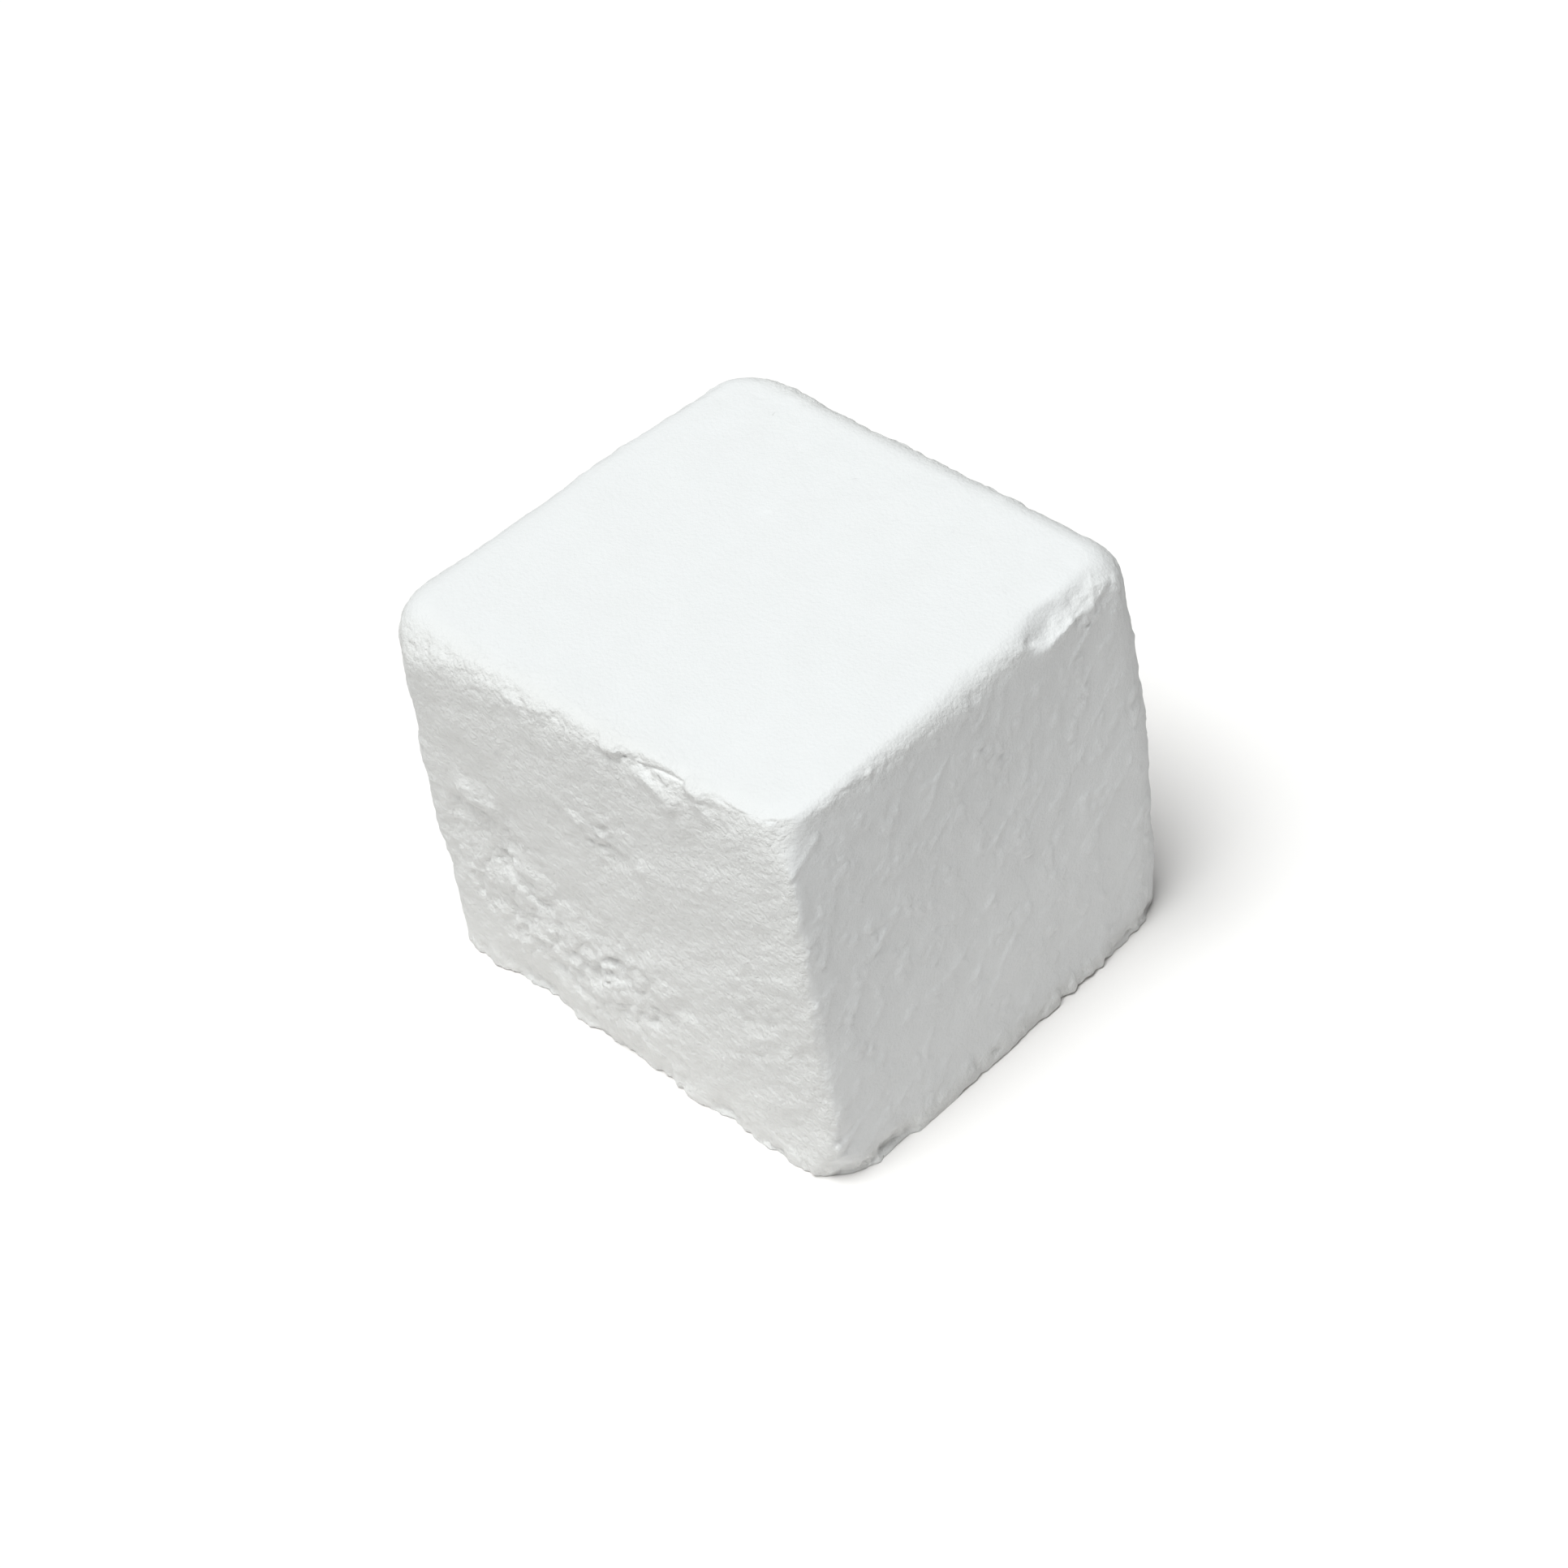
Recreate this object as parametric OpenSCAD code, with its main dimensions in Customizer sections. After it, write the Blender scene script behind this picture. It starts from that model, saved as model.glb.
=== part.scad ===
// Gymnastics chalk block: one lump of pressed and dried magnesium carbonate, about two inches a side.
// Its sides have been rubbed unevenly, so each corner is drawn in and rounded by its own amount.
// Frame: origin at the middle of the base, +Z up. The side at -Y is smooth and the side at -X is rough.

/* [Block] */
// Width between the fullest points of the sides, along X
block_w = 51; // [40:0.5:70]
// Depth between the fullest points of the sides, along Y
block_d = 57.5; // [40:0.5:70]
// Height from the flat base to the flat top
block_h = 45.5; // [40:0.5:70]

/* [Top corners] */
// Plan radius at front left, front right, back right and back left
top_plan_r = [3, 5.4, 6.3, 7]; // [2:0.1:12]
// Rounding of the rim at front left, front right, back right and back left
top_rim_r = [1.5, 4.1, 3.4, 4.6]; // [1:0.1:6]
// Wear along X at front left, front right, back right and back left
top_wear_x = [1.5, 0.4, 0, 0.3]; // [0:0.1:3]
// Wear along Y at front left, front right, back right and back left
top_wear_y = [1.6, 1.2, 2, 0.3]; // [0:0.1:3]

/* [Base corners] */
// Plan radius at front left, front right, back right and back left
base_plan_r = [6.8, 7.5, 5, 3.9]; // [2:0.1:12]
// Rounding of the bottom edge at front left, front right, back right and back left
base_rim_r = [0.6, 1, 3, 0.6]; // [0.5:0.1:6]
// Wear along X at front left, front right, back right and back left
base_wear_x = [0, 0.5, 0.1, 1.3]; // [0:0.1:3]
// Wear along Y at front left, front right, back right and back left
base_wear_y = [0, 0.2, 0.6, 0]; // [0:0.1:3]

/* [Crisp edges] */
// Rounding of the front and left rims between their corners
rim_r = 2.2; // [1:0.1:3]
// How far the crisp part of the front rim runs to the right, from the middle of the block
front_rim_x = 13; // [0:0.5:16]
// How far the crisp part of the left rim runs to the back, from the middle of the block
left_rim_y = 14; // [0:0.5:18]
// Radius of the front left upright edge
front_edge_r = 1.5; // [1:0.1:4]
// Wear of its lower end along X and along Y
front_edge_low_wear = [0.3, 0.4]; // [0:0.1:3]
// Wear of its upper end along X and along Y
front_edge_high_wear = [1.2, 1.3]; // [0:0.1:3]
// How far above the base that edge becomes crisp
front_edge_lift = 4; // [3:0.5:12]
// How far below the top it stops being crisp
front_edge_drop = 5; // [3:0.5:12]

/* [Swollen edge] */
// Radius of the front right upright edge at its fullest point
swell_r = 5.6; // [3:0.1:10]
// Height of that fullest point above the base
swell_z = 21.5; // [12:0.5:28]

/* [Broken front rim] */
// Where the break in the front rim starts, measured along the front from the middle of the block
rim_break_x = 7.5; // [0:0.5:16]
// Radius of the hollow that the broken piece left
rim_break_r = 6; // [4:0.1:10]
// How far the axis of that hollow is out from the front of the block
rim_break_out = 1; // [0:0.1:3]
// How far the axis is above the top, where the break starts
rim_break_lift = 3.2; // [1:0.1:4]
// Climb of the axis towards the front right corner, in degrees
rim_break_climb = 6; // [0:1:10]
// Slant of the short wall at its left end, in degrees from square to the rim
rim_break_slant = 50; // [0:1:60]

/* [Chipped left rim] */
// Middle of the chip, measured towards the front from the middle of the block
chip_y = 13.5; // [0:0.5:16]
// Length of the chip along the rim
chip_length = 11; // [3:0.5:16]
// Depth of the chip into the edge of the top
chip_depth = 0.9; // [0.3:0.1:3]
// Slope of the chip's floor, in degrees from level
chip_slope = 45; // [30:1:70]

/* [Hidden] */

// Corners in the order of the lists above, as the side of the block that each is on
CORNERS = [[-1, -1], [1, -1], [1, 1], [-1, 1]];
FRONT_LEFT = 0;
FRONT_RIGHT = 1;
BACK_LEFT = 3;
chalk_white = [0.95, 0.96, 0.96];
// Number of facets round each worn corner
corner_facets = 32;
// Thickness of the discs at the ends of a crisp edge
disc_t = 1;
// Length that a cut runs out past the block
overrun = 20;

// Value at a place along a length, between the values at its two ends
function between(start, end, place, length) = start + (end - start) * (place / length + 0.5);

// Wear of the rims at the far ends of their crisp parts, in line with the corners on both sides
front_rim_wear = between(top_wear_y[FRONT_LEFT], top_wear_y[FRONT_RIGHT], front_rim_x, block_w);
left_rim_wear = between(top_wear_x[FRONT_LEFT], top_wear_x[BACK_LEFT], left_rim_y, block_d);
chip_wear = between(top_wear_x[FRONT_LEFT], top_wear_x[BACK_LEFT], -chip_y, block_d);
// Radius of the cone that would cut a chip of that length and depth
chip_cone_r = (pow(chip_length / 2, 2) + pow(chip_depth, 2)) / (2 * chip_depth);

// A flat round disc with a rounded rim, resting on z = 0: one worn corner
module worn_corner(plan_r, rim_r) {
    edge_r = min(rim_r, plan_r - 0.1);
    translate([0, 0, edge_r])
        rotate_extrude($fn = corner_facets)
            translate([plan_r - edge_r, 0])
                intersection() {
                    circle(r = edge_r, $fn = corner_facets);
                    translate([0, -edge_r])
                        square([edge_r, 2 * edge_r]);
                }
}

// The same disc hung from the top of the block
module worn_top_corner(plan_r, rim_r) {
    translate([0, 0, block_h])
        mirror([0, 0, 1])
            worn_corner(plan_r, rim_r);
}

// Puts a corner of plan radius r into the given corner of the block's outline, less its wear
module at_corner(side, r, wear) {
    x = block_w / 2 - wear[0] - r;
    y = block_d / 2 - wear[1] - r;
    translate([side[0] * x, side[1] * y, 0]) children();
}

// Ends of the crisp parts of the front and left rims
module crisp_rims() {
    translate([front_rim_x, -block_d / 2 + front_rim_wear + rim_r, 0])
        worn_top_corner(rim_r, rim_r);
    translate([-block_w / 2 + left_rim_wear + rim_r, left_rim_y, 0])
        worn_top_corner(rim_r, rim_r);
}

// Thin discs at the two ends of the front left upright edge, which stays crisp between them
module crisp_front_edge() {
    at_corner(CORNERS[FRONT_LEFT], front_edge_r, front_edge_low_wear)
        translate([0, 0, front_edge_lift])
            cylinder(r = front_edge_r, h = disc_t, $fn = corner_facets);
    at_corner(CORNERS[FRONT_LEFT], front_edge_r, front_edge_high_wear)
        translate([0, 0, block_h - front_edge_drop - disc_t])
            cylinder(r = front_edge_r, h = disc_t, $fn = corner_facets);
}

// The whole lump before anything broke off: its top and base are flat, and its sides lean a little
module rubbed_lump() {
    hull() {
        for (i = [0:3]) {
            at_corner(CORNERS[i], base_plan_r[i], [base_wear_x[i], base_wear_y[i]])
                worn_corner(base_plan_r[i], base_rim_r[i]);
            at_corner(CORNERS[i], top_plan_r[i], [top_wear_x[i], top_wear_y[i]])
                worn_top_corner(top_plan_r[i], top_rim_r[i]);
        }
        at_corner(CORNERS[FRONT_RIGHT], swell_r, [0, 0])
            translate([0, 0, swell_z - swell_r])
                worn_corner(swell_r, swell_r);
        crisp_rims();
        crisp_front_edge();
    }
}

// A piece of the front rim has split off at the right: a shallow hollow that ends at a short slanting wall
module rim_break() {
    slant_run = overrun * tan(rim_break_slant);
    intersection() {
        translate([rim_break_x, -block_d / 2 - rim_break_out, block_h + rim_break_lift])
            rotate([0, 90 - rim_break_climb, 0])
                cylinder(r = rim_break_r, h = 2 * block_w, center = true);
        translate([rim_break_x, -block_d / 2, 0])
            linear_extrude(block_h + overrun)
                polygon([
                    [-slant_run, -overrun],
                    [block_w, -overrun],
                    [block_w, overrun],
                    [slant_run, overrun],
                ]);
    }
}

// The left rim is chipped near the front: a short sloping scar, deepest at its middle
module rim_chip() {
    side_x = -block_w / 2 + chip_wear;
    translate([side_x + chip_depth - chip_cone_r, -chip_y, block_h])
        rotate_extrude()
            polygon([
                [0, disc_t],
                [chip_cone_r + disc_t / tan(chip_slope), disc_t],
                [0, -chip_cone_r * tan(chip_slope)],
            ]);
}

module chalk_block() {
    color(chalk_white)
        difference() {
            rubbed_lump();
            rim_break();
            rim_chip();
        }
}

chalk_block();
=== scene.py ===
import math
from collections import namedtuple

import bpy
import numpy as np
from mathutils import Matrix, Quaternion, Vector
from mathutils.bvhtree import BVHTree


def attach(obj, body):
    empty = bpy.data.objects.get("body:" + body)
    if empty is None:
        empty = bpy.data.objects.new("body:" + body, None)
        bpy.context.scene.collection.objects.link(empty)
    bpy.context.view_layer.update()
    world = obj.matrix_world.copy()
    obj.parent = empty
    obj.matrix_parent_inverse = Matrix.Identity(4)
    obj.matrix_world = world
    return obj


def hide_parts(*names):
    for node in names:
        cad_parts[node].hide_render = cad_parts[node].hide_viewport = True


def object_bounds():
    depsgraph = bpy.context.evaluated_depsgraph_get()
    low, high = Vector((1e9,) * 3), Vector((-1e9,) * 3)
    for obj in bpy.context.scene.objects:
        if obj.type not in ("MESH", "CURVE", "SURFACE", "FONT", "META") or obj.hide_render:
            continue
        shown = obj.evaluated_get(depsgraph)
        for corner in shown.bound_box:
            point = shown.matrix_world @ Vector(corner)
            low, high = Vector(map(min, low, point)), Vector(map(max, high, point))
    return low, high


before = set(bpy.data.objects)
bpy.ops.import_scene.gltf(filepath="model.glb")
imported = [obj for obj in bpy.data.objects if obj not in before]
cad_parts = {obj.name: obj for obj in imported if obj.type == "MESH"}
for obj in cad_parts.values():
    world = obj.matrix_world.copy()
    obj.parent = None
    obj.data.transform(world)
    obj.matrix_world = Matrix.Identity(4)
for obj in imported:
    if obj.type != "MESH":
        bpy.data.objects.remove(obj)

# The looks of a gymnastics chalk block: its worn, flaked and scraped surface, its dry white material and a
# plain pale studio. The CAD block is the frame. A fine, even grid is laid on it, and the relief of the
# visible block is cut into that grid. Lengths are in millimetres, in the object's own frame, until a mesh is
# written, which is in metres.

MM = 0.001
NODE = "chalk_block"
cad_low, cad_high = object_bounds()
LOW = np.array(cad_low) / MM
HIGH = np.array(cad_high) / MM
SIZE = HIGH - LOW
MIDDLE = (LOW + HIGH) / 2
HALF = SIZE / 2

GRID_STEP = 0.25         # side of one quad of the mesh that the relief is cut in
KEPT_TRIANGLES = 190000  # triangles left once the flat parts are thinned out
SMOOTHING_ROUNDS = 7     # rounds of averaging that take the CAD facets out of the rounded rims
SMOOTHING_STEPS = (0.5, -0.52)  # each round draws the points in, then lets them out by a little more
TINY = 1e-9              # keeps a division by a length of 0 from failing

# Each kind of damage draws its noise from seeds of its own
SEED = 7
LEFT_SEED, BACK_SEED, FRONT_SEED, RIGHT_SEED, TOP_SEED = (SEED + 100 * n for n in (1, 2, 3, 4, 5))
EDGE_SEED, MARK_SEED, POWDER_SEED, FOOT_SEED = (SEED + 100 * n for n in (6, 7, 8, 9))

# One kind of small shape on the surface: its length, as one number or one for each axis, and its height
Shape = namedtuple("Shape", "length height")


# ---------------------------------------------------------------- noise

ARROWS = 256             # arrows that each lattice draws from, a power of two
WAVE_GAIN = 1.6          # brings gradient noise to about -1 to 1
GRAIN_STRAY = 0.42       # how far the middle of a grain stands from the middle of its cell, in cells
GRAIN_CRACK = 0.75       # square of the distance from a grain's middle to the cracks, in cells
STIR_SEED = 50           # added to a seed for the waves that stir its grains out of line
RUBBLE_STIR = 0.35       # how far those waves push the grains of rubble, in grain lengths
PIT_STIR = 0.3           # and the pits
PIT_SCATTER = 2.2        # length of the patches that hold pits, in pit sizes
PIT_PATCHES = (0.05, 0.3)   # noise where a patch of pits begins, and where its pits are whole
PIT_WALLS = (0.35, 0.95)    # grain noise at the top and at the bottom of the wall of a pit


class Noise:
    """Seeded noise over points in space, on a lattice of unit cells."""

    def __init__(self, seed):
        draw = np.random.RandomState(seed)
        self.order = np.tile(draw.permutation(ARROWS), 3)
        slopes = draw.normal(size=(ARROWS, 3))
        self.slopes = slopes / np.linalg.norm(slopes, axis=1)[:, None]

    def arrow(self, cell):
        """The unit vector that belongs to each cell."""
        i, j, k = cell.T & (ARROWS - 1)
        return self.slopes[self.order[self.order[self.order[i] + j] + k]]

    def waves(self, points):
        """Gradient noise, from about -1 to 1."""
        cell = np.floor(points).astype(int)
        part = points - cell
        fade = part ** 3 * (part * (part * 6 - 15) + 10)  # from 0 to 1, and level at both ends
        total = np.zeros(len(points))
        for step in np.ndindex(2, 2, 2):
            share = np.abs(1 - np.array(step) - fade).prod(1)
            total += share * (self.arrow(cell + step) * (part - step)).sum(1)
        return total * WAVE_GAIN

    def grains(self, points):
        """Packed round grains, one to a cell: 1 at the middle of each and about 0 in the cracks."""
        cell = np.floor(points).astype(int)
        nearest = np.full(len(points), np.inf)
        for step in np.ndindex(3, 3, 3):
            there = cell + step - 1
            middle = there + 0.5 + GRAIN_STRAY * self.arrow(there)
            nearest = np.minimum(nearest, ((points - middle) ** 2).sum(1))
        return 1 - nearest / GRAIN_CRACK


def cloud(points, lengths, seed, octaves=3, gain=0.5):
    """Layered waves. Lengths gives the length of the largest ones, as one number or one for each axis."""
    total = np.zeros(len(points))
    share = 1.0
    for octave in range(octaves):
        scaled = points / np.asarray(lengths, float) * 2 ** octave
        total += share * Noise(seed + octave).waves(scaled)
        share *= gain
    return total


def rubble(points, lengths, seed, octaves=2, gain=0.5):
    """Layered grains of mixed size, with their middles around 1 and the cracks around -1."""
    total = np.zeros(len(points))
    share = 1.0
    push = Noise(seed + STIR_SEED).waves(points / lengths)[:, None]
    stirred = points + RUBBLE_STIR * np.asarray(lengths, float) * push
    for octave in range(octaves):
        scaled = stirred / np.asarray(lengths, float) * 2 ** octave
        total += share * (2 * Noise(seed + octave).grains(scaled) - 1)
        share *= gain
    return total


def pits(points, size, seed):
    """Scattered round pits: 1 at the bottom of each, 0 outside them."""
    stirred = points + PIT_STIR * size * Noise(seed + STIR_SEED).waves(points / size)[:, None]
    scattered = smooth_step(Noise(seed + 1).waves(points / (PIT_SCATTER * size)), *PIT_PATCHES)
    return smooth_step(Noise(seed).grains(stirred / size), *PIT_WALLS) * scattered


def smooth_step(value, start, end):
    """0 before start, 1 after end, and an even curve between."""
    t = np.clip((value - start) / (end - start), 0, 1)
    return t * t * (3 - 2 * t)


# ---------------------------------------------------------------- grid laid on the CAD block

def box_grid(counts):
    """Corner points and quads of a closed box from -1 to 1, with counts cells along each axis."""
    index = {}
    points = []
    quads = []

    def number(key):
        if key not in index:
            index[key] = len(points)
            points.append([2 * key[a] / counts[a] - 1 for a in range(3)])
        return index[key]

    for axis in range(3):
        u, v = (axis + 1) % 3, (axis + 2) % 3
        for end in (0, counts[axis]):
            for i in range(counts[u]):
                for j in range(counts[v]):
                    ring = []
                    for du, dv in ((0, 0), (1, 0), (1, 1), (0, 1)):
                        key = [0, 0, 0]
                        key[axis] = end
                        key[u] = i + du
                        key[v] = j + dv
                        ring.append(number(tuple(key)))
                    quads.append(ring if end else ring[::-1])  # wound to face outwards
    return np.array(points), np.array(quads)


def laid_on_cad(directions):
    """Where the line from the middle of the block through each point of the grid meets the CAD surface."""
    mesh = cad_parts[NODE].data
    mesh.calc_loop_triangles()
    corners = [Vector(v.co) / MM for v in mesh.vertices]
    triangles = [tuple(t.vertices) for t in mesh.loop_triangles]
    surface = BVHTree.FromPolygons(corners, triangles)
    start = Vector(MIDDLE)
    placed = np.empty_like(directions)
    for i, direction in enumerate(directions):
        hit = surface.ray_cast(start, Vector(direction * HALF).normalized())[0]
        placed[i] = hit
    return placed


def neighbour_average(points, quads):
    """Mean of the points that share an edge with each point."""
    total = np.zeros_like(points)
    count = np.zeros(len(points))
    for a, b in ((0, 1), (1, 2), (2, 3), (3, 0)):
        for here, there in ((a, b), (b, a)):
            for axis in range(3):
                total[:, axis] += np.bincount(quads[:, here], points[quads[:, there], axis], len(points))
            count += np.bincount(quads[:, here], minlength=len(points))
    return total / count[:, None]


def smoothed(points, quads, rounds):
    """Evens the points out without shrinking the block."""
    for _ in range(rounds):
        for amount in SMOOTHING_STEPS:
            points = points + amount * (neighbour_average(points, quads) - points)
    return points


def normals_of(points, quads):
    """Outward unit normal at each point."""
    a, b, c, d = (points[quads[:, i]] for i in range(4))
    facing = np.cross(c - a, d - b)
    total = np.zeros_like(points)
    for i in range(4):
        for axis in range(3):
            total[:, axis] += np.bincount(quads[:, i], facing[:, axis], len(points))
    return total / np.linalg.norm(total, axis=1)[:, None]


# ---------------------------------------------------------------- marks of wear

# Places are given as shares of the block's half size from its middle. Each mark runs from one place to
# another. Then come its reach to either side and its height, which is negative for a groove or a pit.
LEFT_MARKS = [
    ((-1, 0.10, -0.95), (-1, 0.60, -0.95), 12.0, 0.22),        # broad swell at the foot
    ((-1, 0.0, 0.0), (-1, 0.50, 0.0), 11.0, -0.50),            # broad hollow in the middle
    ((-1, -0.65, 1.0), (-1, -0.90, 1.0), 11.0, -0.75),         # broad hollow under the front of the rim
    ((-1, 0.66, 0.16), (-1, 0.56, 0.13), 1.6, 0.75),           # lump near the back edge
    ((-1, 0.80, -0.16), (-1, 0.74, 0.00), 1.2, -0.42),         # hollow that bends round under the lump
    ((-1, 0.72, 0.02), (-1, 0.46, 0.13), 1.0, -0.40),
    ((-1, 0.58, -0.13), (-1, 0.50, -0.20), 0.9, -0.42),        # groove below it
    ((-1, 0.50, -0.22), (-1, 0.38, -0.30), 0.9, -0.52),
    ((-1, 0.50, -0.12), (-1, 0.36, -0.22), 1.1, 0.38),
    ((-1, 0.03, 0.43), (-1, -0.05, 0.38), 1.0, 0.35),          # bright bumps in the middle
    ((-1, -0.14, 0.40), (-1, -0.22, 0.36), 1.0, 0.35),
    ((-1, -0.02, 0.33), (-1, -0.12, 0.30), 0.9, -0.35),
    ((-1, 0.34, -0.70), (-1, 0.28, -0.75), 1.1, -0.50),        # pits low down
    ((-1, 0.20, -0.55), (-1, 0.14, -0.56), 1.0, -0.40),
    ((-1, 0.12, -0.68), (-1, 0.04, -0.64), 1.1, 0.40),
    ((-1, -0.02, -0.50), (-1, -0.08, -0.50), 1.0, -0.40),
    ((-1, -0.16, -0.62), (-1, -0.22, -0.56), 1.0, -0.35),
    ((-1, 0.44, -0.55), (-1, 0.38, -0.50), 1.1, 0.30),
    ((-1, -0.30, -0.42), (-1, -0.36, -0.40), 0.9, -0.35),
]
EDGE_MARKS = [
    ((-1, 0.10, 1.0), (-1, 0.75, 1.0), 2.0, -0.35),            # left rim, worn more towards the back
    ((-0.95, -0.17, 0.96), (-0.95, -0.20, 0.95), 0.8, 0.32),   # crumb at the back end of the chip
    ((-0.95, -0.24, 0.93), (-0.93, -0.48, 0.97), 0.9, -0.38),  # groove along the chip
    ((-0.95, -0.34, 0.87), (-0.95, -0.46, 0.85), 1.2, 0.42),   # ledge below it
    ((-0.95, -0.44, 0.82), (-0.95, -0.43, 0.78), 0.9, 0.30),
    ((-0.94, -0.53, 0.95), (-0.94, -0.54, 0.94), 0.8, 0.38),   # crumbs left at its front end
    ((-0.95, -0.56, 0.89), (-0.95, -0.58, 0.87), 0.9, 0.36),
    ((-0.93, -0.63, 1.0), (-0.91, -0.85, 1.0), 1.5, -0.35),    # rim rubbed round in front of it
    ((0.05, -0.97, 1.0), (0.20, -0.97, 1.0), 1.7, -0.40),      # front rim, worn away next to the break
    ((-1, -0.93, -0.25), (-1, -0.93, -0.45), 2.2, -0.30),      # front left upright edge
    ((-0.95, -1, -0.70), (-0.95, -1, -0.80), 1.5, -0.30),
    ((0.90, -0.93, -0.70), (0.90, -0.93, -0.80), 2.0, 0.35),   # front right upright edge
    ((0.94, -0.93, 0.20), (0.94, -0.93, 0.60), 3.0, 0.25),
    ((-0.95, 0.92, -0.25), (-0.95, 0.92, 0.20), 2.6, 0.45),    # back left upright edge
    ((-0.95, 0.92, 0.80), (-0.95, 0.92, 0.90), 2.0, -0.30),
    ((-0.60, -1, -1), (-0.80, -1, -1), 9.0, -0.30),            # broad hollow low on the front side
    ((0.55, -1, 0.35), (0.75, -1, 0.35), 12.0, -0.35),         # and one high up at its right
    ((-0.52, -1, -1), (-0.40, -1, -1), 2.0, 0.35),             # bottom edge of the front side
    ((-0.25, -1, -1), (-0.12, -1, -1), 2.0, 0.60),
    ((0.20, -1, -1), (0.28, -1, -1), 1.8, 0.40),
    ((0.60, -1, -1), (0.85, -1, -1), 2.0, -0.35),
    ((-0.98, -0.76, -1), (-0.98, -0.86, -1), 2.0, 0.60),       # bottom edge of the left side
    ((-0.98, -0.64, -1), (-0.98, -0.68, -1), 1.2, -0.40),
    ((-0.98, -0.42, -1), (-0.98, -0.46, -1), 1.6, -0.40),
    ((-0.98, -0.22, -1), (-0.98, -0.28, -1), 1.6, 0.40),
    ((-0.98, 0.44, -0.9), (-0.98, 0.60, -0.9), 2.6, -0.50),
    ((-0.98, 0.74, -1), (-0.98, 0.82, -1), 2.0, 0.45),
    ((0.15, 0.95, 1), (0.30, 0.95, 1), 2.5, 0.30),             # back rim
    ((0.66, 0.92, 1), (0.74, 0.90, 1), 2.0, -0.35),
    ((1, 0.66, 1), (1, 0.56, 1), 2.0, 0.40),                   # right rim
    ((1, -0.36, 1), (1, -0.42, 1), 2.0, 0.30),
]
# Marks that move the outline of the foot in or out
FOOT_MARKS = [
    ((-0.68, -1, -1), (-0.84, -1, -1), 2.4, -0.35),            # along the front side
    ((0.60, -1, -1), (0.66, -1, -1), 1.4, -0.35),
    ((0.04, -1, -1), (0.12, -1, -1), 1.2, 0.30),
    ((-0.34, -1, -1), (-0.46, -1, -1), 1.4, 0.25),
    ((-1, 0.48, -1), (-1, 0.58, -1), 1.8, -1.20),              # along the left side
    ((-1, 0.90, -1), (-1, 0.96, -1), 2.0, -0.45),
    ((-1, 0.20, -1), (-1, -0.10, -1), 1.8, -0.45),
    ((-1, -0.42, -1), (-1, -0.42, -1), 1.2, -0.25),
]
MARK_OUTLINES = Shape(2.2, 0.9)  # waves that pull the outlines of the marks about


def on_block(place):
    """The point at a place given as shares of the block's half size."""
    return MIDDLE + HALF * np.array(place, float)


def marks(points, made):
    """All the marks of a list together, with ragged outlines."""
    pulls = [cloud(points, MARK_OUTLINES.length, MARK_SEED + 10 * axis, 2) for axis in range(3)]
    ragged = points + np.stack(pulls, 1) * MARK_OUTLINES.height
    total = np.zeros(len(points))
    for start, end, reach, height in made:
        start, end = on_block(start), on_block(end)
        run = end - start
        along = np.clip((ragged - start) @ run / max(run @ run, TINY), 0, 1)
        away = ((ragged - start - along[:, None] * run) ** 2).sum(1)
        total += height * np.exp(-away / reach ** 2)
    return total


# ---------------------------------------------------------------- where each kind of wear lies

SIDE_FADE = (0.35, 0.9)  # how far a normal lies along an axis where that side begins, and where it is whole
EDGE_CORE = 1.0          # width of the strip along each edge that crumbles most
LEAST_EDGE = 0.02        # a smaller share of an edge counts as none
LEAST_SHARE = 0.01       # relief isn't worked out where its share is smaller


def side_share(normals, axis, sign):
    """1 on the side that faces that way, falling to 0 round the rim."""
    return smooth_step(sign * normals[:, axis], *SIDE_FADE)


def edge_share(points, axes, signs, reach):
    """1 along the edge where two sides meet, falling to 0 at about twice reach from it."""
    away = np.zeros(len(points))
    for axis, sign in zip(axes, signs):
        inset = HALF[axis] - sign * (points[:, axis] - MIDDLE[axis])
        away += np.maximum(inset - EDGE_CORE, 0) ** 2
    share = np.exp(-away / reach ** 2)
    return np.where(share > LEAST_EDGE, share, 0)


# How badly each edge has crumbled: the axes and directions of its two sides, its reach and its strength
CRUMBLED_EDGES = [
    ((0, 2), (-1, 1), 2.2, 0.85),     # left rim
    ((1, 2), (-1, 1), 1.6, 0.6),      # front rim
    ((0, 2), (1, 1), 1.6, 0.8),       # right rim
    ((1, 2), (1, 1), 1.6, 0.8),       # back rim
    ((0, 1), (-1, -1), 1.2, 0.35),    # front left upright edge
    ((0, 1), (1, -1), 1.6, 0.3),      # front right upright edge
    ((0, 1), (1, 1), 1.8, 0.5),       # back right upright edge
    ((0, 1), (-1, 1), 1.8, 0.5),      # back left upright edge
    ((0, 2), (-1, -1), 1.4, 0.8),     # bottom edges
    ((1, 2), (-1, -1), 1.4, 0.8),
    ((0, 2), (1, -1), 1.4, 0.8),
    ((1, 2), (1, -1), 1.4, 0.8),
]

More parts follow.
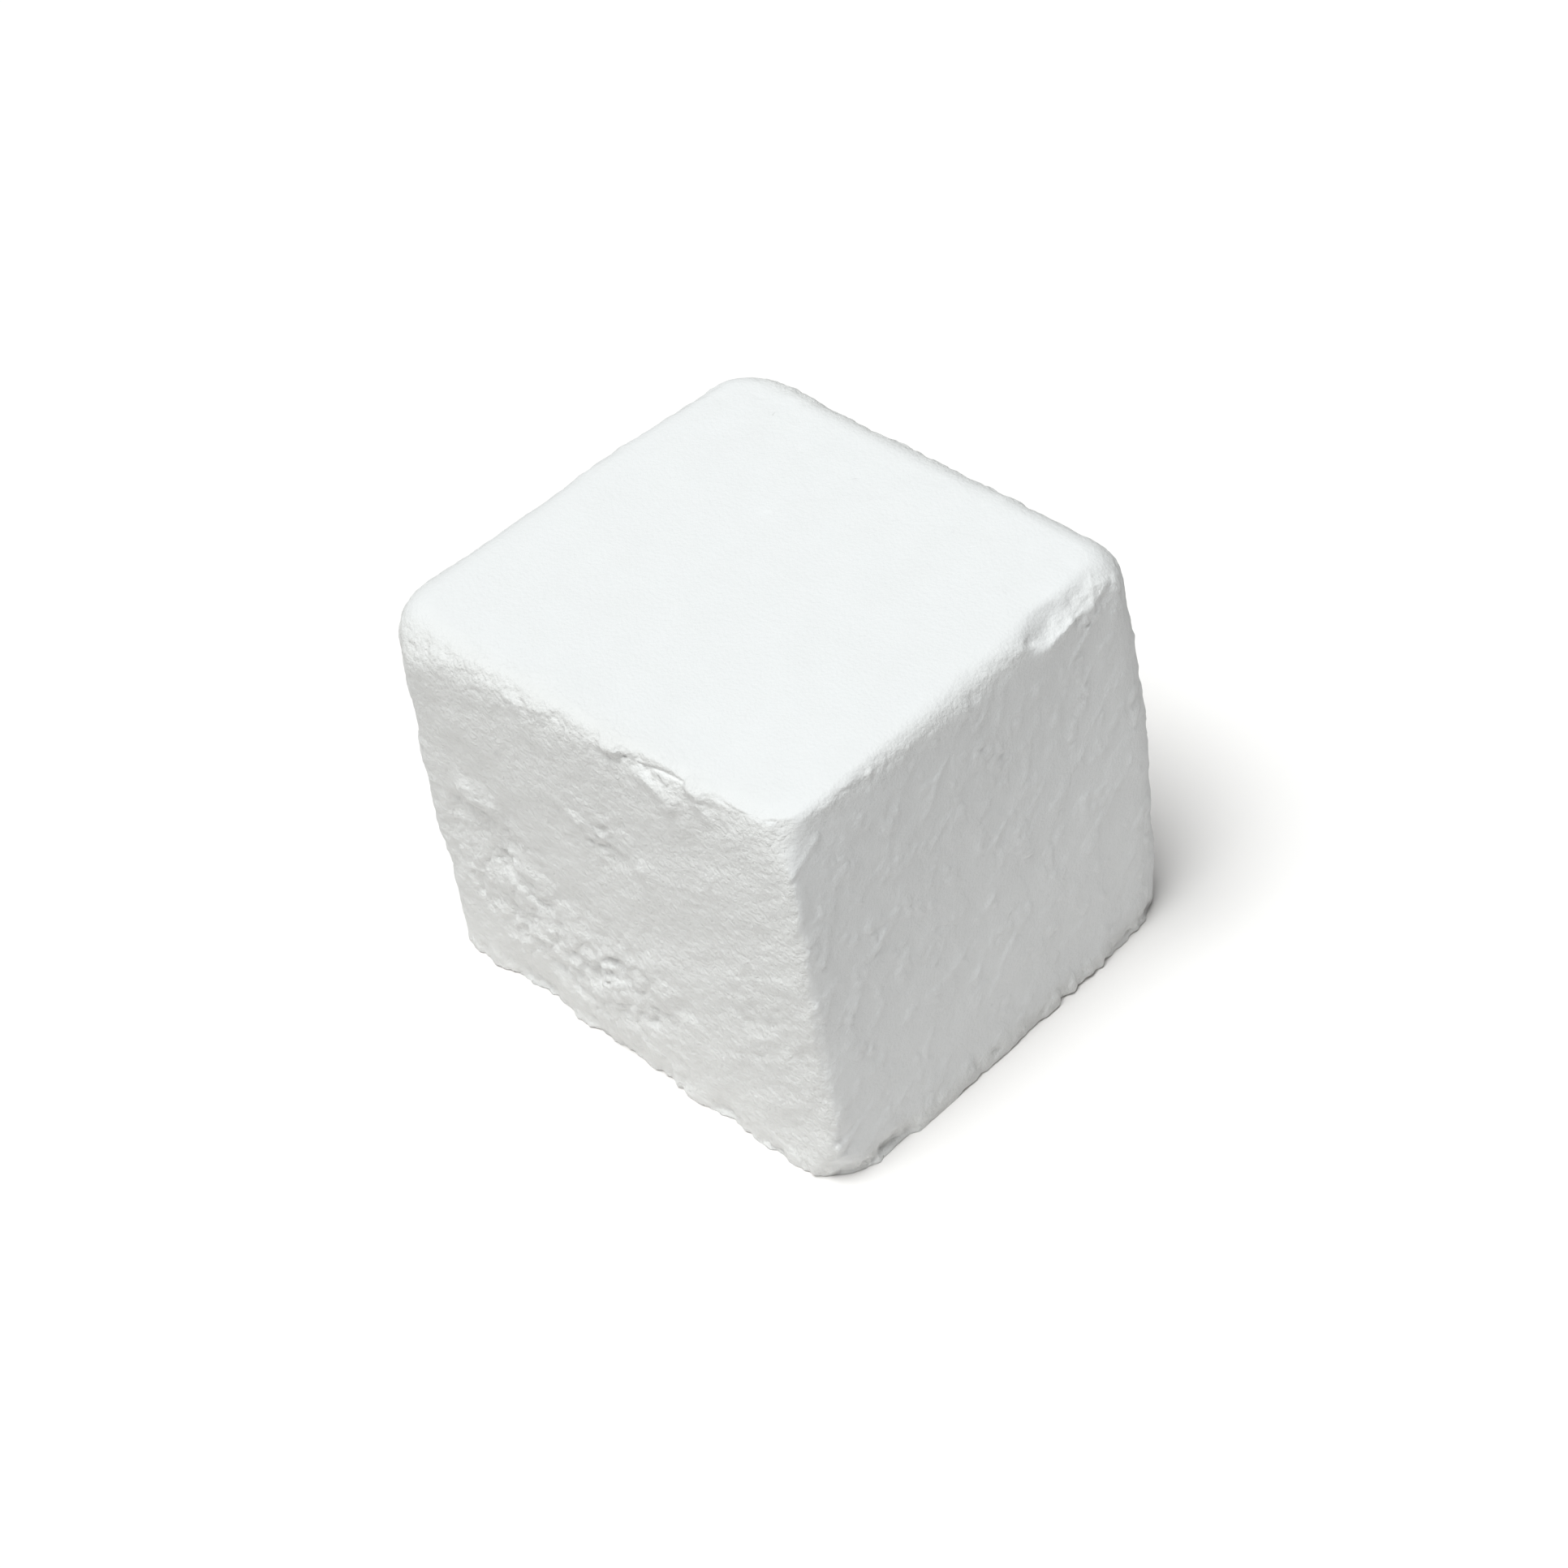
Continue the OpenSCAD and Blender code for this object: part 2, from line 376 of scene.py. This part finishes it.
# Patches where the powder has broken up coarsely: the middle of each, its reach along each axis, its strength
COARSE_PATCHES = [
    ((-1, 0.15, -0.55), (6, 13, 7.5), 0.9),      # low down on the left side
    ((-1, 0.60, -0.30), (6, 9, 11), 0.6),
    ((-1, -0.06, 0.38), (6, 6, 3.5), 0.5),       # in its middle, under the chip
    ((-1, 0.55, 0.10), (6, 6, 5), 0.3),
    ((-1, -0.70, -0.25), (6, 8, 14), 0.28),      # near the front edge
    ((0.54, -0.93, 0.95), (8, 2.6, 2.2), 0.8),   # the broken front rim
    ((0.10, -0.97, 1.0), (4, 1.6, 1.6), 0.45),   # the rim next to it
    ((-1, 0.20, 1.0), (6, 22, 1.6), 0.35),       # the left rim
]


def crumbled_share(points):
    """How badly the edge at each point has crumbled, and 0 away from the edges."""
    total = np.zeros(len(points))
    for axes, signs, reach, strength in CRUMBLED_EDGES:
        total = np.maximum(total, strength * edge_share(points, axes, signs, reach))
    return total


def coarse_share(points):
    """1 in the middle of a coarse patch, falling to 0 round it."""
    total = np.zeros(len(points))
    for place, reach, strength in COARSE_PATCHES:
        off = (points - on_block(place)) / np.array(reach)
        total = np.maximum(total, strength * np.exp(-(off ** 2).sum(1)))
    return total


# ---------------------------------------------------------------- relief of each surface, outwards

BED_SLOPE = 0.5          # fall of the beds of powder towards the back, for each millimetre along Y

# Coarse powder
CLODS = Shape(2.0, 0.28)
CLOD_SINK = 0.2          # taken off the clods' noise, before it is given its height
HEAPS = Shape(3.4, 0.50)
CRUMBS = Shape(0.9, 0.09)
POWDER_PITS = Shape(1.5, 0.62)

# Cleaved sides. A sink is taken off each side, so that it stays about level with the CAD surface.
SWELLS = Shape((8, 9, 7), 0.20)
MOTTLES = Shape((3.4, 3.6, 3.2), 0.10)
LUMPS = Shape((1.7, 1.8, 1.7), 0.04)
ROUGH_GRAIN = Shape(0.75, 0.038)
ROUGH_SINK = 0.08

# Pressed sides
SCRAPES = Shape((7, 9, 1.6), 0.42)
SCRAPE_CLIMB = 36        # slope of the scrapes, in degrees
SCRAPE_START = 0.42      # noise above which there is a scrape
DENTS = Shape(10, 0.10)
SKIN = Shape(5, 0.07)
SKIN_EDGE = (-0.06, 0.06)  # noise at the foot and at the top of the edge of a flake
SPECKS = Shape(1.3, 0.14)
SMOOTH_GRAIN = Shape(1.0, 0.024)
SMOOTH_SINK = 0.12

# The top
TOP_PITS = Shape((2.2, 2.2, 9), 0.10)
TOP_PIT_START = 0.35     # noise above or below 0 by this much is a pit
TOP_PIT_PLACE = (4, 20)  # X where the pits begin, and where they are deepest
TOP_SINK = 0.02

# Crumbled edges
WORN = Shape(4, 0.14)
EDGE_LUMPS = Shape(1.6, 0.11)
EDGE_GRAIN = Shape(0.8, 0.06)
BITES = Shape(3, 0.45)
BITE_START = 0.2         # noise above which there is a bite


def bedded(points):
    """Points sheared so that shapes laid on them lie along the sloping beds of the rough sides."""
    return points + np.outer(points[:, 1], [0, 0, BED_SLOPE])


def coarse_powder(points, seed):
    """Clods of broken powder with pits between them."""
    points = bedded(points)
    clods = (rubble(points, CLODS.length, seed, 2) - CLOD_SINK) * CLODS.height
    heaps = cloud(points, HEAPS.length, seed + 30, 2) * HEAPS.height
    crumbs = rubble(points, CRUMBS.length, seed + 10, 1) * CRUMBS.height
    return clods + heaps + crumbs - pits(points, POWDER_PITS.length, seed + 20) * POWDER_PITS.height


def rough_side(points, seed):
    """A cleaved side: soft mottled swells under packed grains of powder."""
    points = bedded(points)
    swells = cloud(points, SWELLS.length, seed, 2) * SWELLS.height
    mottled = cloud(points, MOTTLES.length, seed + 10, 2) * MOTTLES.height
    lumps = rubble(points, LUMPS.length, seed + 20, 2) * LUMPS.height
    grain = rubble(points, ROUGH_GRAIN.length, seed + 30, 1) * ROUGH_GRAIN.height
    return swells + mottled + lumps + grain - ROUGH_SINK


def smooth_side(points, seed):
    """A pressed side: nearly flat, with a few slanting scrapes and a skin that has flaked in patches."""
    climb = math.radians(SCRAPE_CLIMB)
    across = points @ np.array([-math.sin(climb), 0, math.cos(climb)])
    along = points @ np.array([math.cos(climb), 0, math.sin(climb)])
    turned = np.stack([along, points[:, 1], across], 1)
    scrapes = np.maximum(cloud(turned, SCRAPES.length, seed, 2) - SCRAPE_START, 0) * SCRAPES.height
    dents = cloud(points, DENTS.length, seed + 10, 2) * DENTS.height
    skin = smooth_step(cloud(points, SKIN.length, seed + 20, 3), *SKIN_EDGE) * SKIN.height
    specks = pits(points, SPECKS.length, seed + 40) * SPECKS.height
    grain = rubble(points, SMOOTH_GRAIN.length, seed + 30, 1) * SMOOTH_GRAIN.height
    return scrapes + dents + skin + specks + grain - SMOOTH_SINK


def top_side(points, seed):
    """The top: flat, with very shallow pits towards the right."""
    place = smooth_step(points[:, 0], *TOP_PIT_PLACE)
    ridges = np.abs(cloud(points, TOP_PITS.length, seed, 2))
    return np.minimum(0, TOP_PIT_START - ridges) * TOP_PITS.height * place - TOP_SINK


def crumbling(points, seed):
    """An edge that crumbles: broken back in small bites and left lumpy."""
    worn = cloud(points, WORN.length, seed, 2) * WORN.height
    lumps = rubble(points, EDGE_LUMPS.length, seed + 10, 2) * EDGE_LUMPS.height
    grain = rubble(points, EDGE_GRAIN.length, seed + 30, 1) * EDGE_GRAIN.height
    bites = -np.maximum(cloud(points, BITES.length, seed + 20, 2) - BITE_START, 0) * BITES.height
    return worn + lumps + grain + bites


HIDDEN_STRENGTH = 0.8    # relief of the back and the right side against that of the left side and the front
TOP_SPARED_EDGE = 0.7    # how much less an edge crumbles where it turns into the flat top
TOP_SPARED_POWDER = 0.8  # how much less the powder there has broken up


def where(share, surface, points, seed):
    """The relief of a kind of surface, worked out only where it has a share and scaled by it."""
    here = share > LEAST_SHARE
    total = np.zeros(len(points))
    total[here] = share[here] * surface(points[here], seed)
    return total


def relief(points, normals):
    """How far each point moves along its normal."""
    left = side_share(normals, 0, -1)
    right = side_share(normals, 0, 1)
    front = side_share(normals, 1, -1)
    back = side_share(normals, 1, 1)
    top = side_share(normals, 2, 1)
    base = side_share(normals, 2, -1)
    edge = crumbled_share(points) * (1 - TOP_SPARED_EDGE * top)
    coarse = coarse_share(points) * (1 - TOP_SPARED_POWDER * top)
    swapped = points[:, [1, 0, 2]]  # the back lies across the left side, and the right side across the front

    height = where(left, rough_side, points, LEFT_SEED)
    height += where(back, rough_side, swapped, BACK_SEED) * HIDDEN_STRENGTH
    height += where(front, smooth_side, points, FRONT_SEED)
    height += where(right, smooth_side, swapped, RIGHT_SEED) * HIDDEN_STRENGTH
    height += where(top, top_side, points, TOP_SEED)
    height += where(edge, crumbling, points, EDGE_SEED)
    height += where(coarse, coarse_powder, points, POWDER_SEED)
    height += marks(points, LEFT_MARKS + EDGE_MARKS)
    return height * (1 - base)


# ---------------------------------------------------------------- foot, break and worn corner

FOOT_HEIGHT = 2.6        # how far up the ragged foot of the block reaches
FOOT_DEPTH = 3.0         # how far in from its outline
FOOT_INSET = 1.0         # how far in from the block's box the whole spread holds
FOOT_SQUARED = 0.50      # how much of the rounding at the foot is filled out
FOOT_CORNERS = 12        # power that keeps the spread square to each side until close to a corner
FOOT_STRETCH = (1, 1, 0.25)  # flattens the noise's points, so the ragged shapes are taller than they are wide
FOOT_RAGGED = Shape(3.0, 0.46)
FOOT_RAGGED_GAIN = 0.65  # share that each finer layer of the ragged shapes keeps
FOOT_SINK = 0.12


def foot_spread(points, normals):
    """How far each point near the base moves straight outwards, which leaves the foot sharp and ragged."""
    shares = (points - MIDDLE)[:, :2] / HALF[:2]
    outward = np.sign(shares) * np.abs(shares) ** FOOT_CORNERS
    outward /= np.linalg.norm(outward, axis=1)[:, None] + TINY
    inset = (HALF[:2] - np.abs(points - MIDDLE)[:, :2]).min(1)
    share = np.exp(-(points[:, 2] / FOOT_HEIGHT) ** 2)
    share *= 1 - smooth_step(inset, FOOT_INSET, FOOT_INSET + FOOT_DEPTH)
    waves = cloud(points * FOOT_STRETCH, FOOT_RAGGED.length, FOOT_SEED, 3, FOOT_RAGGED_GAIN)
    ragged = waves * FOOT_RAGGED.height - FOOT_SINK
    ragged += marks(points * [1, 1, 0], FOOT_MARKS)
    squared = (1 - np.linalg.norm(normals[:, :2], axis=1)) * FOOT_SQUARED
    return outward * (share * (ragged + squared))[:, None]


# Where the broken front rim sinks. The drop begins at the start along each axis. Along Y and Z it is whole at
# the end, and along X it fades out from there.
BREAK_START = (0.22, -0.86, 0.70)
BREAK_END = (0.58, -0.94, 0.90)
BREAK_FADE = (0.26, 0.25)   # lengths over which the drop begins and ends along X, in shares
BREAK_LIP = (-0.94, -0.99)  # where along Y the lip begins, and where it is whole, in shares
BREAK_LIP_SPARED = 0.75     # how much less the lip sinks
BREAK_DROP = 0.70


def broken_rim_drop(points):
    """How far each point sinks where the front rim has broken off, which steepens the broken face."""
    start, end = on_block(BREAK_START), on_block(BREAK_END)
    begun = smooth_step(points[:, 0], start[0], start[0] + BREAK_FADE[0] * HALF[0])
    ended = smooth_step(points[:, 0], end[0], end[0] + BREAK_FADE[1] * HALF[0])
    outward = smooth_step(-points[:, 1], -start[1], -end[1])
    lip = smooth_step(-points[:, 1], -BREAK_LIP[0] * HALF[1], -BREAK_LIP[1] * HALF[1])
    outward *= 1 - BREAK_LIP_SPARED * lip
    upward = smooth_step(points[:, 2], start[2], end[2])
    return BREAK_DROP * begun * (1 - ended) * outward * upward


# Places that rubbing has worn soft: the middle of each, its slant in plan from the Y axis in degrees, and its
# reach across that slant, along Y and along Z
SOFT_PLACES = [
    ((0.294, -1.0, 1.0), 50, (1.6, 6.0, 7.0)),    # wall at the end of the break
    ((-0.94, -0.78, 1.0), 0, (2.0, 5.0, 2.0)),    # front end of the left rim
    ((-0.93, -0.93, 0.97), 0, (3.0, 3.0, 3.0)),   # front left corner of the top
    ((0.0, -0.97, 1.0), 0, (8.0, 2.2, 2.2)),      # middle of the front rim
]
SOFT_ROUNDS = 30         # rounds of averaging before the relief is cut in
SOFT_LATE_ROUNDS = 6     # and after
SOFT_STRENGTH = 0.9      # how far each round moves a point in the middle of such a place


def worn_soft(points, quads, rounds):
    """Averages the points at the soft places, which turns steps there into gentle slopes."""
    share = np.zeros(len(points))
    for place, slant, reach in SOFT_PLACES:
        off = points - on_block(place)
        turn = math.radians(slant)
        across = off[:, 0] * math.cos(turn) - off[:, 1] * math.sin(turn)
        away = np.stack([across, off[:, 1], off[:, 2]], 1) / np.array(reach)
        share = np.maximum(share, SOFT_STRENGTH * np.exp(-(away ** 2).sum(1)))
    for _ in range(rounds):
        points = points + share[:, None] * (neighbour_average(points, quads) - points)
    return points


# The front left corner of the top: its place, how far its wear reaches and how far it is knocked back
CORNER_PLACE = (-0.95, -0.95, 1.0)
CORNER_REACH = (3.2, 3.2, 5.0)
CORNER_PUSH = (0.9, 0.9, 0.0)


def worn_corner_push(points):
    """How far each point moves where the front left corner of the top has been knocked back."""
    away = (points - on_block(CORNER_PLACE)) / np.array(CORNER_REACH)
    return np.exp(-(away ** 2).sum(1))[:, None] * np.array(CORNER_PUSH)


# ---------------------------------------------------------------- mesh of the block

def block_points():
    """Points and quads of the finished block."""
    counts = [int(round(length / GRID_STEP)) for length in SIZE]
    directions, quads = box_grid(counts)
    points = smoothed(laid_on_cad(directions), quads, SMOOTHING_ROUNDS)
    points = worn_soft(points, quads, SOFT_ROUNDS)
    normals = normals_of(points, quads)
    moved = points + normals * relief(points, normals)[:, None]
    moved[:, 2] -= broken_rim_drop(points)
    moved[:, :2] += foot_spread(points, normals)
    moved += worn_corner_push(points)
    moved = worn_soft(moved, quads, SOFT_LATE_ROUNDS)
    return np.clip(moved, LOW, HIGH), quads


def new_mesh(name, points, quads):
    """A smooth-shaded mesh object from points in millimetres."""
    mesh = bpy.data.meshes.new(name)
    mesh.from_pydata((points * MM).tolist(), [], quads.tolist())
    mesh.shade_smooth()
    mesh.validate()
    made = bpy.data.objects.new(name, mesh)
    bpy.context.scene.collection.objects.link(made)
    return made


def thinned(block):
    """Joins triangles where the surface is flat, until KEPT_TRIANGLES are left."""
    thin = block.modifiers.new("thinned", "DECIMATE")
    thin.ratio = KEPT_TRIANGLES / (2 * len(block.data.polygons))
    bpy.context.view_layer.update()
    seen = block.evaluated_get(bpy.context.evaluated_depsgraph_get())
    mesh = bpy.data.meshes.new_from_object(seen)
    block.modifiers.remove(thin)
    block.data = mesh


def read_vectors(source, name):
    """One vector of each item of a mesh, as an array."""
    flat = np.empty(len(source) * 3, np.float32)
    source.foreach_get(name, flat)
    return flat.reshape(-1, 3).astype(float)


POWDER = "powder"        # name of the attribute that says how coarse the powder is


def powdered(block):
    """Marks how coarse the powder is: 1 on the left side, less on the back and the edges, 0 elsewhere."""
    points = read_vectors(block.data.vertices, "co") / MM
    normals = read_vectors(block.data.vertex_normals, "vector")
    rough = side_share(normals, 0, -1) + HIDDEN_STRENGTH * side_share(normals, 1, 1)
    rough = np.maximum(rough, crumbled_share(points))
    kept = block.data.attributes.new(POWDER, "FLOAT", "POINT")
    kept.data.foreach_set("value", np.clip(rough, 0, 1).astype(np.float32))


def held_in_box(block):
    """Brings back the points that thinning has moved out of the CAD box."""
    points = read_vectors(block.data.vertices, "co") / MM
    block.data.vertices.foreach_set("co", (np.clip(points, LOW, HIGH) * MM).astype(np.float32).ravel())


# ---------------------------------------------------------------- materials

CHALK_GREY = (0.800, 0.804, 0.802)   # colour of the darker patches
CHALK_WHITE = (0.842, 0.848, 0.850)  # and of the lighter ones
CHALK_WARMTH = (1.0, 0.992, 0.975)   # tint of the coarse powder
CHALK_GLOSS = 0.15
CHALK_ROUGHNESS = (0.88, 1.0)        # in the darker and in the lighter patches
PATCH_SCALE = 220                    # patches, dust and crumbs to a metre
DUST_SCALE = 3000
CRUMB_SCALE = 1500
DUST_DEPTH = 0.18 * MM
CRUMB_DEPTH = 0.12 * MM
DUST_STRENGTH = (0.45, 1.0)          # on the smoothest and on the coarsest powder
CRUMB_STRENGTH = (0.1, 0.8)


def new_node(tree, kind, **settings):
    """A node with its inputs set by name, an underscore standing for each space."""
    node = tree.nodes.new(kind)
    for name, value in settings.items():
        node.inputs[name.replace("_", " ")].default_value = value
    return node


def scaled(tree, value, low, high):
    """A value from 0 to 1 carried to the range from low to high."""
    ramp = new_node(tree, "ShaderNodeMapRange", To_Min=low, To_Max=high)
    tree.links.new(value, ramp.inputs["Value"])
    return ramp.outputs["Result"]


def chalk_material():
    """Dry pressed magnesium carbonate: white and matt, with grain that is coarser on the rough sides."""
    material = bpy.data.materials.new("dry_chalk")
    material.use_nodes = True
    tree = material.node_tree
    shader = tree.nodes["Principled BSDF"]
    shader.inputs["Specular IOR Level"].default_value = CHALK_GLOSS

    place = tree.nodes.new("ShaderNodeTexCoord").outputs["Object"]
    powder = tree.nodes.new("ShaderNodeAttribute")
    powder.attribute_name = POWDER

    patches = new_node(tree, "ShaderNodeTexNoise", Scale=PATCH_SCALE, Detail=4, Roughness=0.6)
    tree.links.new(place, patches.inputs["Vector"])
    tint = tree.nodes.new("ShaderNodeMix")
    tint.data_type = "RGBA"
    tint.inputs["A"].default_value = (*CHALK_GREY, 1)
    tint.inputs["B"].default_value = (*CHALK_WHITE, 1)
    tree.links.new(patches.outputs["Fac"], tint.inputs["Factor"])
    warmed = tree.nodes.new("ShaderNodeMix")
    warmed.data_type = "RGBA"
    warmed.blend_type = "MULTIPLY"
    warmed.inputs["B"].default_value = (*CHALK_WARMTH, 1)
    tree.links.new(powder.outputs["Fac"], warmed.inputs["Factor"])
    tree.links.new(tint.outputs["Result"], warmed.inputs["A"])
    tree.links.new(warmed.outputs["Result"], shader.inputs["Base Color"])
    tree.links.new(scaled(tree, patches.outputs["Fac"], *CHALK_ROUGHNESS), shader.inputs["Roughness"])

    fine = new_node(tree, "ShaderNodeTexNoise", Scale=DUST_SCALE, Detail=3, Roughness=0.6)
    tree.links.new(place, fine.inputs["Vector"])
    grains = new_node(tree, "ShaderNodeTexVoronoi", Scale=CRUMB_SCALE)
    tree.links.new(place, grains.inputs["Vector"])
    dust = new_node(tree, "ShaderNodeBump", Distance=DUST_DEPTH)
    tree.links.new(scaled(tree, powder.outputs["Fac"], *DUST_STRENGTH), dust.inputs["Strength"])
    tree.links.new(fine.outputs["Fac"], dust.inputs["Height"])
    crumbs = new_node(tree, "ShaderNodeBump", Distance=CRUMB_DEPTH)
    crumbs.invert = True
    tree.links.new(scaled(tree, powder.outputs["Fac"], *CRUMB_STRENGTH), crumbs.inputs["Strength"])
    tree.links.new(grains.outputs["Distance"], crumbs.inputs["Height"])
    tree.links.new(dust.outputs["Normal"], crumbs.inputs["Normal"])
    tree.links.new(crumbs.outputs["Normal"], shader.inputs["Normal"])
    return material


def plain_material(name, colour):
    """A single matt colour, for the studio floor only."""
    material = bpy.data.materials.new(name)
    material.use_nodes = True
    shader = material.node_tree.nodes["Principled BSDF"]
    shader.inputs["Base Color"].default_value = (*colour, 1)
    shader.inputs["Roughness"].default_value = 1.0
    shader.inputs["Specular IOR Level"].default_value = 0.0
    return material


# ---------------------------------------------------------------- the object

def make_block():
    """The chalk block itself, which stands for its plain CAD node."""
    points, quads = block_points()
    block = new_mesh("chalk_block_worn", points, quads)
    thinned(block)
    powdered(block)
    held_in_box(block)
    block.data.materials.append(chalk_material())
    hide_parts(NODE)
    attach(block, "root")


# ---------------------------------------------------------------- the studio

FLOOR_RADIUS = 450
FLOOR_SIDES = 96
FLOOR_GAP = 0.02         # gap between the floor and the base of the block
FLOOR_COLOUR = (0.95, 0.927, 0.914)
LAMP_COLOUR = (0.975, 1.0, 1.0)
LAMP_POWER = 3.575
LAMP_SPREAD = 40         # width of the lamp in the sky, in degrees
LAMP_LEAN = 15           # how far the lamp stands from overhead, in degrees
LAMP_AZIMUTH = 185       # where it leans to, from +X through +Y, in degrees
SKY_COLOUR = (0.97, 0.985, 1.0)
SKY_POWER = 0.02


def make_floor():
    """A round pale floor, just under the block."""
    turns = np.linspace(0, 2 * math.pi, FLOOR_SIDES, endpoint=False)
    rim = np.stack([FLOOR_RADIUS * np.cos(turns), FLOOR_RADIUS * np.sin(turns)], 1)
    points = np.column_stack([rim, np.full(FLOOR_SIDES, LOW[2] - FLOOR_GAP)])
    floor = new_mesh("studio_floor", points, np.arange(FLOOR_SIDES)[None])
    floor.data.materials.append(plain_material("pale_floor", FLOOR_COLOUR))


def make_lights():
    """One broad soft lamp nearly overhead, a faint sky, and a white backdrop that only the camera sees."""
    lamp = bpy.data.lights.new("overhead_softbox", "SUN")
    lamp.energy = LAMP_POWER
    lamp.angle = math.radians(LAMP_SPREAD)
    lamp.color = LAMP_COLOUR
    holder = bpy.data.objects.new("overhead_softbox", lamp)
    bpy.context.scene.collection.objects.link(holder)
    lean, turn = math.radians(LAMP_LEAN), math.radians(LAMP_AZIMUTH)
    towards = Vector((math.sin(lean) * math.cos(turn), math.sin(lean) * math.sin(turn), math.cos(lean)))
    holder.rotation_mode = "QUATERNION"
    holder.rotation_quaternion = towards.to_track_quat("Z", "Y")

    sky = bpy.data.worlds.new("studio_sky")
    sky.use_nodes = True
    tree = sky.node_tree
    glow = tree.nodes["Background"]
    glow.inputs["Color"].default_value = (*SKY_COLOUR, 1)
    glow.inputs["Strength"].default_value = SKY_POWER
    backdrop = tree.nodes.new("ShaderNodeBackground")
    backdrop.inputs["Color"].default_value = (1, 1, 1, 1)
    seen = tree.nodes.new("ShaderNodeLightPath")
    either = tree.nodes.new("ShaderNodeMixShader")
    tree.links.new(seen.outputs["Is Camera Ray"], either.inputs["Fac"])
    tree.links.new(glow.outputs["Background"], either.inputs[1])
    tree.links.new(backdrop.outputs["Background"], either.inputs[2])
    tree.links.new(either.outputs["Shader"], tree.nodes["World Output"].inputs["Surface"])
    bpy.context.scene.world = sky


CAMERA_LENS = 85
CAMERA_SENSOR = 36
CAMERA_NEAR = 0.01       # nearest and farthest distance that it sees, in metres
CAMERA_FAR = 50
CAMERA_AZIMUTH = -39.07  # 0 looks along +Y, in degrees
CAMERA_ELEVATION = 42.04
CAMERA_ROLL = 10.26      # the block leans this much in the picture
CAMERA_DISTANCE = 361
CAMERA_AIM = MIDDLE + np.array([-3.31, -3.48, 0.49])


def make_camera():
    """The camera, at the photograph's angle."""
    lens = bpy.data.cameras.new("camera")
    lens.lens = CAMERA_LENS
    lens.sensor_width = CAMERA_SENSOR
    lens.clip_start = CAMERA_NEAR
    lens.clip_end = CAMERA_FAR
    camera = bpy.data.objects.new("camera", lens)
    bpy.context.scene.collection.objects.link(camera)
    turn, rise = math.radians(CAMERA_AZIMUTH), math.radians(CAMERA_ELEVATION)
    back = Vector((math.sin(turn) * math.cos(rise), -math.cos(turn) * math.cos(rise), math.sin(rise)))
    camera.location = (Vector(CAMERA_AIM) + back * CAMERA_DISTANCE) * MM
    camera.rotation_mode = "QUATERNION"
    upright = (-back).to_track_quat("-Z", "Y")
    roll = Quaternion((0, 0, 1), math.radians(-CAMERA_ROLL))
    camera.rotation_quaternion = upright @ roll
    bpy.context.scene.camera = camera


make_block()
make_floor()
make_lights()
make_camera()
bpy.context.scene.view_settings.view_transform = "Standard"
